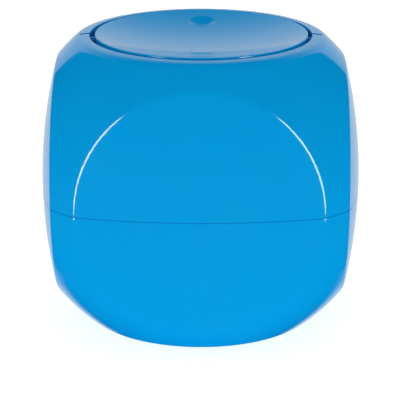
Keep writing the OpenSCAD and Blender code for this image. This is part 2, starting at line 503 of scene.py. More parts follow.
def new_group(name: str, inputs: dict[str, float], outputs: list[str]) -> bpy.types.ShaderNodeTree:
    """Makes an empty shader group that reads a position and some numbers.

    Args:
        name: Name of the group.
        inputs: Name and usual value of each number.
        outputs: Names of the numbers that it gives.

    Returns:
        The group.
    """
    group = bpy.data.node_groups.new(name, "ShaderNodeTree")
    group.interface.new_socket("Position", in_out="INPUT", socket_type="NodeSocketVector")
    for label, value in inputs.items():
        socket = group.interface.new_socket(label, in_out="INPUT", socket_type="NodeSocketFloat")
        socket.default_value = value
    for label in outputs:
        group.interface.new_socket(label, in_out="OUTPUT", socket_type="NodeSocketFloat")
    group.nodes.new("NodeGroupInput")
    group.nodes.new("NodeGroupOutput")
    return group


def moulded_skin() -> bpy.types.ShaderNodeTree:
    """Builds the skin of a moulding: slow sink waves and a fine orange peel, as a height.

    Returns:
        The group, with a Height in metres and a Mottle from 0 to 1.
    """
    group = new_group("moulded_skin", {"Wave": 0.00002, "Peel": 0.000001}, ["Height", "Mottle"])
    w = Wiring(group)
    entry = group.nodes["Group Input"].outputs
    waves = w.noise(entry["Position"], 9.0, 1.0)
    peel = w.noise(entry["Position"], 420.0)
    height = w.math("ADD", w.math("MULTIPLY", waves, entry["Wave"]),
                    w.math("MULTIPLY", peel, entry["Peel"]))
    w.fill(group.nodes["Group Output"], {"Height": height, "Mottle": waves})
    return group


def light_wear() -> bpy.types.ShaderNodeTree:
    """Builds the marks of handling: sparse hairline scuffs and faint dull patches.

    Returns:
        The group, with Scuff and Dull masks from 0 to 1.
    """
    group = new_group("light_wear", {"Amount": 0.5, "Scale": 60.0}, ["Scuff", "Dull"])
    w = Wiring(group)
    entry = group.nodes["Group Input"].outputs
    stretch = w.node("ShaderNodeMapping", {
        "Vector": entry["Position"], "Rotation": (0.4, 0.3, 0.7), "Scale": (1.0, 1.0, 14.0)})
    lines = w.spread(w.noise(stretch.outputs[0], entry["Scale"], 3.0), 0.66, 0.72, 0.0, 1.0)
    patches = w.spread(w.noise(entry["Position"], 14.0), 0.52, 0.70, 0.0, 1.0)
    scuff = w.math("MULTIPLY", w.math("MULTIPLY", lines, patches), entry["Amount"])
    dull = w.math("MULTIPLY", patches, entry["Amount"])
    w.fill(group.nodes["Group Output"], {"Scuff": scuff, "Dull": dull})
    return group


@dataclass
class Paint:
    """A new material, ready for its nodes.

    Attributes:
        material: The material.
        w: The wiring of its tree.
        shader: Its Principled shader.
        position: Position on the object.
    """

    material: bpy.types.Material
    w: Wiring
    shader: bpy.types.Node
    position: bpy.types.NodeSocket

    @classmethod
    def start(cls, name: str) -> "Paint":
        """Makes a new material.

        Args:
            name: Name of the material.

        Returns:
            The material with what its nodes start from.
        """
        material = bpy.data.materials.new(name)
        material.use_nodes = True
        w = Wiring(material.node_tree)
        position = w.node("ShaderNodeTexCoord").outputs["Object"]
        return cls(material, w, material.node_tree.nodes["Principled BSDF"], position)


@dataclass(frozen=True)
class Moulding:
    """A finish of moulded plastic or rubber.

    Attributes:
        name: Name of the material.
        colour: Its linear colour.
        tint: Linear colour of its slow mottling and its scuffs.
        gloss: Roughness where it is clean.
        dull: Roughness where it has been handled.
        wave: Height of the slow waves in its surface.
        peel: Height of its fine orange peel.
        wear: How much handling shows, from 0 to 1.
        index: Index of refraction.
    """

    name: str
    colour: Point
    tint: Point
    gloss: float
    dull: float
    wave: float = 1.2e-5
    peel: float = 4e-7
    wear: float = 0.4
    index: float = 1.49

    def build(self, skin: bpy.types.ShaderNodeTree,
              wear: bpy.types.ShaderNodeTree) -> bpy.types.Material:
        """Builds the material.

        Args:
            skin: The group of the moulding's skin.
            wear: The group of the marks of handling.

        Returns:
            The material.
        """
        paint = Paint.start(self.name)
        w = paint.w
        surface = w.node("ShaderNodeGroup", {
            "Position": paint.position, "Wave": self.wave, "Peel": self.peel},
            node_tree=skin).outputs
        marks = w.node("ShaderNodeGroup", {
            "Position": paint.position, "Amount": self.wear}, node_tree=wear).outputs
        mottle = w.spread(surface["Mottle"], 0.3, 0.7, 0.0, 0.16)
        tinted = w.math("MAXIMUM", mottle, w.math("MULTIPLY", marks["Scuff"], 0.35))
        handled = w.math("MAXIMUM", marks["Scuff"], marks["Dull"])
        bump = w.node("ShaderNodeBump", {"Distance": 1.0, "Height": surface["Height"]})
        w.fill(paint.shader, {
            "Base Color": w.mix("RGBA", tinted, (*self.colour, 1), (*self.tint, 1)),
            "Roughness": w.spread(handled, 0.0, 1.0, self.gloss, self.dull),
            "Normal": bump.outputs["Normal"],
            "IOR": self.index})
        return paint.material


@dataclass(frozen=True)
class Steel:
    """The finish of the screws: zinc-plated steel, turned and lightly marked.

    Attributes:
        name: Name of the material.
        colour: Its linear colour.
        tint: Linear colour of its dull patches.
    """

    name: str = "plated_steel"
    colour: Point = (0.56, 0.57, 0.58)
    tint: Point = (0.42, 0.41, 0.38)

    def build(self, wear: bpy.types.ShaderNodeTree) -> bpy.types.Material:
        """Builds the material.

        Args:
            wear: The group of the marks of handling.

        Returns:
            The material.
        """
        paint = Paint.start(self.name)
        w = paint.w
        marks = w.node("ShaderNodeGroup", {
            "Position": paint.position, "Amount": 1.0, "Scale": 300.0}, node_tree=wear).outputs
        w.fill(paint.shader, {
            "Base Color": w.mix("RGBA", marks["Dull"], (*self.colour, 1), (*self.tint, 1)),
            "Metallic": 1.0,
            "Roughness": w.spread(marks["Scuff"], 0, 1, 0.26, 0.5)})
        return paint.material


SHELL_PLASTIC = Moulding("shell_plastic", (0.0, 0.38, 0.86), (0.0, 0.40, 0.88), 0.08, 0.13)
LID_PLASTIC = Moulding("lid_plastic", (0.0, 0.38, 0.86), (0.0, 0.40, 0.88), 0.10, 0.15)
PIN_PLASTIC = Moulding("pin_plastic", (0.0, 0.30, 0.70), (0.02, 0.33, 0.73), 0.28, 0.40,
                       wave=0.0, peel=1.2e-6)
SEAL_RUBBER = Moulding("seal_rubber", (0.0, 0.34, 0.78), (0.01, 0.36, 0.80), 0.5, 0.65,
                       wave=0.0, peel=4e-6, index=1.5)
FOOT_RUBBER = Moulding("foot_rubber", (0.022, 0.024, 0.027), (0.05, 0.052, 0.055), 0.55, 0.75,
                       wave=0.0, peel=6e-6, wear=0.9, index=1.5)


# ----------------------------------------------------------------------------------------------
# Shells
# ----------------------------------------------------------------------------------------------


@dataclass
class DiceForm:
    """The round-cornered cube: a ball with four crowned sides, a crowned land and a flat underside.

    Attributes:
        middle: Height of the ball's middle.
        ball: Radius of the ball.
        side_ball: Radius of each crowned side.
        side_back: How far behind the ball's middle a side's own middle lies.
        crown_ball: Radius of the crowned land.
        land: Height of the land at the opening's edge, above the ball's middle.
        opening: Radius of the opening.
        under: Depth of the underside below the ball's middle.
        wall: Thickness of the shells.
        crease: How softly a side meets the ball, as the height that their blend takes up.
        shoulder: The same for the land and the ball.
        hem: The same for the underside and the ball.
    """

    middle: float = 0.222
    ball: float = 0.2815
    side_ball: float = 0.690880
    side_back: float = 0.450880
    crown_ball: float = 2.0
    land: float = 0.2145
    opening: float = 0.166497
    under: float = 0.220
    wall: float = 0.004
    crease: float = 0.0026
    shoulder: float = 0.009
    hem: float = 0.0026

    @property
    def side_circle(self) -> float:
        """Radius of the crease round each side."""
        along = (self.ball ** 2 - self.side_ball ** 2 + self.side_back ** 2) / (-2 * self.side_back)
        return math.sqrt(self.ball ** 2 - along ** 2)

    @property
    def crown_back(self) -> float:
        """Height of the crowned land's own middle, above the ball's middle."""
        return self.land - math.sqrt(self.crown_ball ** 2 - self.opening ** 2)

    @property
    def top_circle(self) -> float:
        """Radius of the circle where the crowned land meets the ball."""
        back = self.crown_back
        level = (self.ball ** 2 - self.crown_ball ** 2 + back ** 2) / (2 * back)
        return math.sqrt(self.ball ** 2 - level ** 2)

    @property
    def under_circle(self) -> float:
        """Radius of the circle where the underside meets the ball."""
        return math.sqrt(self.ball ** 2 - self.under ** 2)

    @staticmethod
    def blend(a: np.ndarray, b: np.ndarray, soft: float) -> np.ndarray:
        """The lower of two heights, softened where they meet."""
        near = np.maximum(soft - np.abs(a - b), 0) / soft
        return np.minimum(a, b) - near ** 3 * soft / 6

    def top_height(self, radius: np.ndarray) -> np.ndarray:
        """Height of the top's surface over the ball's middle, at a radius from the axis."""
        ball = np.sqrt(np.maximum(self.ball ** 2 - radius ** 2, 0))
        crown = self.crown_back + np.sqrt(self.crown_ball ** 2 - radius ** 2)
        return self.blend(ball, crown, self.shoulder)

    def under_height(self, radius: np.ndarray) -> np.ndarray:
        """Height of the underside over the ball's middle, at a radius from the axis."""
        ball = np.sqrt(np.maximum(self.ball ** 2 - radius ** 2, 0))
        return -self.blend(ball, np.full_like(radius, self.under), self.hem)

    def section(self, height: float, inset: float, angles: np.ndarray) -> np.ndarray:
        """Distance of the surface from the axis, at a height over the ball's middle.

        Args:
            height: The height.
            inset: How far inside the outer surface.
            angles: Directions round the axis, in radians.

        Returns:
            One distance for each angle.
        """
        reach = np.full(len(angles), math.sqrt((self.ball - inset) ** 2 - height ** 2))
        for side in range(4):
            lean = -self.side_back * np.cos(angles - side * math.pi / 2)
            inside = lean ** 2 - self.side_back ** 2 + (self.side_ball - inset) ** 2 - height ** 2
            reach = self.blend(reach, lean + np.sqrt(inside), self.crease)
        return reach


class PieceTree:
    """Geometry Nodes that end in real geometry with its material.

    Attributes:
        tree: The node tree.
        w: The tree's wiring.
        entry: Outputs of the tree's input node.
    """

    def __init__(self, name: str, inputs: dict[str, str]) -> None:
        """Makes the tree with its sockets.

        Args:
            name: Name of the tree.
            inputs: Name and type of each input, besides the geometry and the material.
        """
        self.tree = bpy.data.node_groups.new(name, "GeometryNodeTree")
        kinds = {"Geometry": "Geometry", **inputs, "Material": "Material"}
        for label, kind in kinds.items():
            self.tree.interface.new_socket(label, in_out="INPUT", socket_type=f"NodeSocket{kind}")
        self.tree.interface.new_socket("Geometry", in_out="OUTPUT",
                                       socket_type="NodeSocketGeometry")
        self.w = Wiring(self.tree)
        self.entry = self.w.node("NodeGroupInput").outputs

    def turned(self, step: object) -> bpy.types.NodeSocket:
        """A rotation round Z that grows by one step from each point to the next."""
        index = self.w.node("GeometryNodeInputIndex").outputs[0]
        turn = self.w.math("MULTIPLY", index, step)
        return self.w.node("ShaderNodeCombineXYZ", {"Z": turn}).outputs[0]

    def copies(self, inputs: dict[str, object]) -> bpy.types.NodeSocket:
        """Puts real copies on points.

        Args:
            inputs: Points, Instance and Rotation of the copies.

        Returns:
            The copies.
        """
        made = self.w.node("GeometryNodeInstanceOnPoints", inputs)
        return self.w.node("GeometryNodeRealizeInstances", {0: made.outputs[0]}).outputs[0]

    def end(self, geometry: bpy.types.NodeSocket) -> None:
        """Gives the geometry its material and hands it out of the tree."""
        paint = self.w.node("GeometryNodeSetMaterial", {
            "Geometry": geometry, "Material": self.entry["Material"]})
        self.w.node("NodeGroupOutput", {0: paint.outputs[0]})

    def run(self, thing: bpy.types.Object, values: dict[str, object]) -> bpy.types.Object:
        """Runs the tree on an object and keeps the result as its mesh.

        Args:
            thing: The object.
            values: The tree's inputs, by name.

        Returns:
            The same object.
        """
        modifier = thing.modifiers.new("run", "NODES")
        modifier.node_group = self.tree
        for item in self.tree.interface.items_tree:
            if item.in_out == "INPUT" and item.name in values:
                modifier[item.identifier] = values[item.name]
        return freeze(thing)


class SideTree(PieceTree):
    """Geometry Nodes that swell a flat quarter into a side of the shell and repeat it."""

    def __init__(self, material: bpy.types.Material) -> None:
        """Builds the tree.

        Args:
            material: The material of what it makes.
        """
        self.material = material
        sizes = dict.fromkeys(("Ball", "Side Ball", "Side Back", "Crease", "Middle"), "Float")
        super().__init__("crowned_sides", {**sizes, "Sides": "Int"})
        w, entry = self.w, self.entry
        spot = w.node("GeometryNodeInputPosition").outputs[0]
        parts = w.node("ShaderNodeSeparateXYZ", {0: spot}).outputs
        across, up = parts["X"], parts["Z"]
        square = w.math("ADD", w.math("MULTIPLY", across, across), w.math("MULTIPLY", up, up))
        ball = self.depth(w, entry["Ball"], square)
        side = w.math("SUBTRACT", self.depth(w, entry["Side Ball"], square), entry["Side Back"])
        out = w.math("SMOOTH_MIN", ball, side, entry["Crease"])
        swollen = w.node("ShaderNodeCombineXYZ", {
            "X": across, "Y": w.math("MULTIPLY", out, -1.0),
            "Z": w.math("ADD", up, entry["Middle"])})
        quarter = w.node("GeometryNodeSetPosition", {
            "Geometry": entry["Geometry"], "Position": swollen.outputs[0]})
        points = w.node("GeometryNodePoints", {"Count": entry["Sides"]})
        sides = self.copies({
            "Points": points.outputs[0], "Instance": quarter.outputs[0],
            "Rotation": self.turned(w.math("DIVIDE", math.tau, entry["Sides"]))})
        whole = w.node("GeometryNodeMergeByDistance", {"Geometry": sides, "Distance": WELD})
        self.end(whole.outputs[0])

    @staticmethod
    def depth(w: Wiring, radius: bpy.types.NodeSocket,
              square: bpy.types.NodeSocket) -> bpy.types.NodeSocket:
        """Distance of a ball's surface from the plane through its middle.

        Args:
            w: The tree's wiring.
            radius: The ball's radius.
            square: Square of the distance from its axis.

        Returns:
            The distance.
        """
        inside = w.math("SUBTRACT", w.math("MULTIPLY", radius, radius), square)
        return w.math("SQRT", w.math("MAXIMUM", inside, 0.0))


@dataclass
class Shell:
    """Outer and inner sheets of one half of the round-cornered cube.

    Attributes:
        form: The round-cornered cube.
        half: Which half this is.
        seam: Height of this half's edge at the seam, over the ball's middle.
        lip: Radius of the softened edges.
        ring_points: Points along a meridian, and along a quarter of the end circle.
    """

    form: DiceForm
    half: Half
    seam: float
    lip: float = 0.00025
    ring_points: tuple[int, int] = (44, 60)

    @property
    def margin(self) -> float:
        """How far the side quarters keep away from the crease at the top or at the underside."""
        return 0.009 if self.half is Half.HOOD else 0.005

    def end_circle(self, inset: float) -> float:
        """Radius of the circle where the side quarters end, clear of the end's soft crease."""
        form = self.form
        circle = form.top_circle if self.half is Half.HOOD else form.under_circle
        level = math.sqrt(form.ball ** 2 - circle ** 2) - inset
        return math.sqrt((form.ball - inset) ** 2 - level ** 2) + self.margin

    def quarter(self, inset: float, start: float) -> Sheet:
        """The flat grid of one quarter, in rings that follow the side's crease.

        Args:
            inset: How far inside the outer surface the sheet lies.
            start: Height of its row at the seam, over the ball's middle.

        Returns:
            The grid, in the plane of X and Z.
        """
        up = self.half.value
        ball = self.form.ball - inset
        crease = self.form.side_circle
        end = self.end_circle(inset)
        end_height = up * math.sqrt(ball ** 2 - end ** 2)
        meridian, quarter = self.ring_points
        first = math.asin(start / ball)
        last = math.asin(end_height / ball)
        climb = np.linspace(first, last, meridian + 1)
        side = np.stack([ball * np.cos(climb) * math.sqrt(0.5), ball * np.sin(climb)], 1)
        swing = np.linspace(math.pi / 4, -math.pi / 4, quarter + 1)[1:-1]
        over = np.stack([end * np.sin(swing), np.full(len(swing), end_height)], 1)
        border = np.concatenate([side, over, side[::-1] * [-1, 1]])
        lean = math.asin(start / crease)
        corner = math.atan2(abs(side[-1][1]), side[-1][0]) * up
        right = np.linspace(lean, corner, meridian + 1)
        left = math.pi * up - right[::-1]
        middle = np.linspace(corner, math.pi * up - corner, quarter + 1)[1:-1]
        angles = np.concatenate([right, middle, left])
        return self.fill(border, angles, crease, start)

    def fill(self, border: np.ndarray, angles: np.ndarray, crease: float,
             start: float) -> Sheet:
        """Fills the quarter with rings, from the middle of the side to its border.

        Args:
            border: The border's points.
            angles: The angle of each point round the side's middle.
            crease: Radius of the side's crease.
            start: Height of the row at the seam.

        Returns:
            The filled grid.
        """
        across_crease = crease + np.linspace(-0.0050, 0.0050, 21)
        open_face = [*np.linspace(0.010, 0.160, 14), 0.166, 0.171, 0.1740]
        inner = np.concatenate([open_face, across_crease])
        rows = []
        for radius in inner:
            shift = start * (1 - radius / crease)
            rows.append(np.stack([radius * np.cos(angles), np.zeros(len(angles)),
                                  shift + radius * np.sin(angles)], 1))
        last = rows[-1]
        edge = np.stack([border[:, 0], np.zeros(len(border)), border[:, 1]], 1)
        for share in (0.06, 0.15, 0.28, 0.44, 0.62, 0.81, 1.0):
            rows.append(last + (edge - last) * share)
        sheet = Sheet()
        flip = self.half is Half.TUB
        sheet.add_rows(rows, closed=False, flip=flip)
        sheet.add_fan((0, 0, start), rows[0], closed=False, flip=flip)
        return sheet

    def grow_sides(self, tree: SideTree, name: str, inset: float, start: float) -> bpy.types.Object:
        """The four sides of this half.

        Args:
            tree: The tree that swells and repeats a quarter.
            name: Name of the object.
            inset: How far inside the outer surface the sheet lies.
            start: Height of its row at the seam, over the ball's middle.

        Returns:
            The open sheet of the sides.
        """
        flat = self.quarter(inset, start).to_object(name)
        form = self.form
        return tree.run(flat, {
            "Ball": form.ball - inset, "Side Ball": form.side_ball - inset,
            "Side Back": form.side_back, "Crease": form.crease, "Middle": form.middle, "Sides": 4,
            "Material": tree.material})

    def columns(self) -> np.ndarray:
        """Angles of the end circle's points, in line with the quarters' borders."""
        count = 4 * self.ring_points[1]
        return -math.pi / 4 + np.arange(count) * math.tau / count

    def close_seam(self, thing: bpy.types.Object) -> None:
        """Rounds the outer edge at the seam and joins it to the inner sheet's edge.

        Args:
            thing: The object with both sheets.
        """
        with editing(thing.data) as work:
            loops = [e for e in work.edges if e.is_boundary and all(
                abs(v.co.z - self.form.middle - self.seam) < 0.003 for v in e.verts)]
            inner = [e for e in loops if not self.is_outer(e)]
            edge = [e for e in loops if self.is_outer(e)]
            down = -self.half.value
            for step in range(4):
                before, turn = step * math.pi / 8, (step + 1) * math.pi / 8
                made = bmesh.ops.extrude_edge_only(work, edges=edge)["geom"]
                edge = [g for g in made if isinstance(g, bmesh.types.BMEdge)
                        and all(v in made for v in g.verts)]
                inwards = self.lip * (math.cos(before) - math.cos(turn))
                lower = self.lip * (math.sin(turn) - math.sin(before))
                for vert in {v for e in edge for v in e.verts}:
                    flat = Vector((vert.co.x, vert.co.y, 0))
                    vert.co -= self.outwards(flat) * inwards
                    vert.co.z += down * lower
            bmesh.ops.bridge_loops(work, edges=edge + inner)
            bmesh.ops.recalc_face_normals(work, faces=work.faces)

    def outwards(self, flat: Vector) -> Vector:
        """Level direction out of the shell at a point of the seam.

        Args:
            flat: The point, at height zero.

        Returns:
            A unit vector.
        """
        angle = math.atan2(flat.y, flat.x)
        side = round(angle / (math.pi / 2)) * math.pi / 2
        axis = Vector((math.cos(side), math.sin(side), 0))
        if abs(flat.cross(axis).z) < self.form.side_circle:
            return (flat + axis * self.form.side_back).normalized()
        return flat.normalized()

    def is_outer(self, edge: bmesh.types.BMEdge) -> bool:
        """True if an edge at the seam belongs to the outer sheet."""
        point = (edge.verts[0].co + edge.verts[1].co) / 2
        angle = np.array([math.atan2(point.y, point.x)])
        reach = self.form.section(self.seam, 0.0, angle)[0]
        return math.hypot(point.x, point.y) > reach - self.form.wall / 2


@dataclass
class Hood:
    """The upper shell with its land, its opening and what holds and stops the lid.

    Attributes:
        form: The round-cornered cube.
        seam: Height of its edge at the seam, over the ball's middle.
        well: Depth of the wall round the opening, below the land.
        well_wall: Thickness of that wall.
        lip: Radius of the opening's edge.
        foot: Radius of the edges at the foot of that wall.
        pin_drop: Depth of the pivot's axis below the land.
        bore: Radius of the pins' bores.
        slot: Width of the slots' mouths.
        slot_end: Where the slots end, from the middle.
        ledge_top: Height of the rest ledges, over the land.
        pad_ring: Radius of the circle that the rest pads lie on.
        pad_turn: Angle of each pad from the front, in degrees.
    """

    form: DiceForm
    seam: float = -0.0032
    well: float = 0.030
    well_wall: float = 0.0035
    lip: float = 0.0012
    foot: float = 0.0008
    pin_drop: float = 0.010
    bore: float = 0.00456
    slot: float = 0.0076
    slot_end: float = 0.181497
    ledge_top: float = -0.016
    pad_ring: float = 0.154497
    pad_turn: float = 34.0

    @property
    def land_z(self) -> float:
        """Height of the land at the opening's edge."""
        return self.form.middle + self.form.land

    def top_rows(self, shell: Shell) -> list[np.ndarray]:
        """Rows of the outer sheet from the sides' end circle over the land and down the well."""
        form, angles = self.form, shell.columns()
        end = shell.end_circle(0.0)
        crease = form.top_circle
        radii = [end, *np.arange(crease + 0.0084, crease - 0.0086, -0.0007),
                 crease - 0.012, crease - 0.015, form.opening + self.lip]
        radii = [r for r in radii if r >= form.opening + self.lip - 1e-9]
        profile = [(r, form.middle + float(form.top_height(np.array([r]))[0])) for r in radii]
        lip_middle = (form.opening + self.lip, profile[-1][1] - self.lip)
        profile += arc(lip_middle, self.lip, 90, 180, 6)[1:]
        foot = (form.opening + self.foot, self.land_z - self.well + self.foot)
        profile += [(form.opening, foot[1]), *arc(foot, self.foot, 180, 270, 3)[1:]]
        return rings(profile, angles)

    def inner_rows(self, shell: Shell) -> list[np.ndarray]:
        """Rows of the inner sheet from the well's foot up and out to the sides' end circle."""
        form, angles = self.form, shell.columns()
        outside = form.opening + self.well_wall
        foot = (outside - self.foot, self.land_z - self.well + self.foot)
        profile = arc(foot, self.foot, 270, 360, 3)
        under = self.land_z - form.wall
        fillet = 0.002
        profile += arc((outside + fillet, under - fillet), fillet, 180, 90, 4)
        end = shell.end_circle(form.wall)
        height = form.middle + math.sqrt((form.ball - form.wall) ** 2 - end ** 2)
        profile += [(end - 0.014, under - 0.0006), (end - 0.007, (under + height) / 2 - 0.0002),
                    (end, height)]
        return rings(profile, angles)

    def shell_mesh(self, tree: SideTree) -> bpy.types.Object:
        """The closed shell, before anything is added to it or cut from it.

        Args:
            tree: The tree that swells and repeats a quarter.

        Returns:
            The shell.
        """
        shell = Shell(self.form, Half.HOOD, self.seam)
        outer = shell.grow_sides(tree, "hood_shell_visible", 0.0, self.seam + shell.lip)
        inner = shell.grow_sides(tree, "hood_inside", self.form.wall, self.seam)
        inner.data.flip_normals()
        rows = self.top_rows(shell) + self.inner_rows(shell)
        top = Sheet()
        top.add_rows(rows, closed=True)
        whole = join([outer, inner, top.to_object("hood_top")])
        weld(whole, SHEET_WELD)
        shell.close_seam(whole)
        return whole

    def make(self, tree: SideTree) -> bpy.types.Object:
        """The hood with its bearing blocks, ledges, ribs, slots and sockets.

        Args:
            tree: The tree that swells and repeats a quarter.

        Returns:
            The finished mesh.
        """
        hood = self.shell_mesh(tree)
        land = self.land_z
        out = self.form.opening + 0.002
        for side in Side:
            flip = on_side(side)
            for name, near, far, top in (
                    ("bearing", out - 0.001, self.slot_end - 0.0035, -0.0037),
                    ("bearing_end", self.slot_end - 0.0045, self.slot_end + 0.004, -0.0055)):
                solid = block(name, (near, -0.010, land - 0.020), (far, 0.010, land + top), 0.0)
                combine(hood, place(solid, flip), "UNION")
            rib = block("rib", (0.14952, -0.01927, land - 0.0266), (out, -0.01227, land - 0.0136),
                        0.0006)
            combine(hood, place(rib, flip), "UNION")
            level = land + self.ledge_top
            ledge = block("ledge", (self.pad_ring - 0.006, -0.008, level - 0.007),
                          (out, 0.008, level), 0.0008)
            turn = Matrix.Rotation(math.radians(-90 + side.value * self.pad_turn), 4, "Z")
            combine(hood, place(ledge, turn), "UNION")
            combine(hood, self.slot_cutter(side), "DIFFERENCE")
            socket = lathe("socket", [(0, 0.001), (0.004, 0.001), (0.004, -0.0015), (0, -0.0015)],
                           32)
            at = turn @ Matrix.Translation((self.pad_ring, 0, level))
            combine(hood, place(socket, at), "DIFFERENCE")
        return smooth(hood)

    def slot_cutter(self, side: Side) -> bpy.types.Object:
        """The tool that cuts a pin's bore and its open slot, with a flared mouth.

        Args:
            side: Left or right.

        Returns:
            The tool.
        """
        land = self.land_z
        half, flare = self.slot / 2, 0.0007
        seat = -self.pin_drop
        start = math.degrees(math.acos(half / self.bore))
        outline = [(half + flare, 0.004), (half + flare, flare * 0.5),
                   (half + flare * 0.35, -flare * 0.3), (half, -flare * 1.3),
                   *arc((0, seat), self.bore, start, -90, 20)]
        outline += [(-x, z) for x, z in outline[-2::-1]]
        near, far = self.form.opening - 0.002, self.slot_end
        count = len(outline)
        verts = [(x, y, land + z) for x in (near, far) for y, z in outline]
        faces = [tuple(range(count)), tuple(range(2 * count - 1, count - 1, -1))]
        faces += [(i, i + count, (i + 1) % count + count, (i + 1) % count) for i in range(count)]
        mesh = bpy.data.meshes.new("slot")
        mesh.from_pydata(verts, [], faces)
        tool = link(bpy.data.objects.new("slot", mesh))
        return turn_out(place(tool, on_side(side)))


@dataclass
class Tub:
    """The lower shell with its collar.

    Attributes:
        form: The round-cornered cube.
        seam: Height of its edge at the seam, over the ball's middle.
        collar_in: How far inside the outer surface the collar's face lies.
        collar_wall: Thickness of the collar.
        collar_top: Height of the collar, over the ball's middle.
        collar_root: Where the collar meets the tub's inside, over the ball's middle.
    """

    form: DiceForm
    seam: float = -0.004
    collar_in: float = 0.0044
    collar_wall: float = 0.003
    collar_top: float = 0.010
    collar_root: float = -0.048

    def shell_mesh(self, tree: SideTree) -> bpy.types.Object:
        """The closed lower shell.

        Args:
            tree: The tree that swells and repeats a quarter.

        Returns:
            The shell.
        """
        form = self.form
        shell = Shell(form, Half.TUB, self.seam)
        outer = shell.grow_sides(tree, "base_tub_visible", 0.0, self.seam - shell.lip)
        inner = shell.grow_sides(tree, "tub_inside", form.wall, self.seam)
        inner.data.flip_normals()
        angles = shell.columns()
        floor = Sheet()
        end = shell.end_circle(0.0)
        crease = form.under_circle
        radii = [end, *np.arange(crease + 0.0045, crease - 0.0046, -0.0005),
                 0.165, 0.13, 0.09, 0.05, 0.02]
        rows = [ring(r, form.middle + float(form.under_height(np.array([r]))[0]), angles)
                for r in radii]
        floor.add_rows(rows, closed=True, flip=True)
        floor.add_fan((0, 0, rows[-1][0][2]), rows[-1], closed=True, flip=True)
        end = shell.end_circle(form.wall)
        top = form.middle - form.under + form.wall
        foot = form.middle - math.sqrt((form.ball - form.wall) ** 2 - end ** 2)
        rows = rings([(end, foot), *((r, top) for r in (end - shell.margin, 0.15, 0.09, 0.03))],
                     angles)
        floor.add_rows(rows, closed=True)
        floor.add_fan((0, 0, top), rows[-1], closed=True)
        whole = join([outer, inner, floor.to_object("tub_floor")])
        weld(whole, SHEET_WELD)
        shell.close_seam(whole)
        return whole

    def collar(self) -> bpy.types.Object:
        """The collar that stands up inside the hood's edge, with a rounded top."""
        angles = -np.arange(360) * math.tau / 360
        rows = []
        soft = 0.0012
        shoulder = self.collar_top - soft
        back = self.collar_in + self.collar_wall
        profile = [(self.collar_in, self.collar_root), (self.collar_in, shoulder)]
        profile += [(self.collar_in + soft - x, shoulder + z)
                    for x, z in arc((0, 0), soft, 0, 90, 4)]
        profile += [(back - soft + x, shoulder + z) for x, z in arc((0, 0), soft, 90, 0, 4)]
        profile += [(back, self.collar_root), (self.collar_in, self.collar_root)]
        for inset, height in profile:
            reach = self.form.section(height, inset, angles)
            rows.append(np.stack([reach * np.cos(angles), reach * np.sin(angles),
                                  np.full(len(angles), self.form.middle + height)], 1))
        sheet = Sheet()
        sheet.add_rows(rows, closed=True)
        return turn_out(sheet.to_object("collar"))

    def make(self, tree: SideTree) -> bpy.types.Object:
        """The tub with its collar.

        Args:
            tree: The tree that swells and repeats a quarter.

        Returns:
            The finished mesh.
        """
        return smooth(join([self.shell_mesh(tree), self.collar()]))


# ----------------------------------------------------------------------------------------------
# Lid
# ----------------------------------------------------------------------------------------------


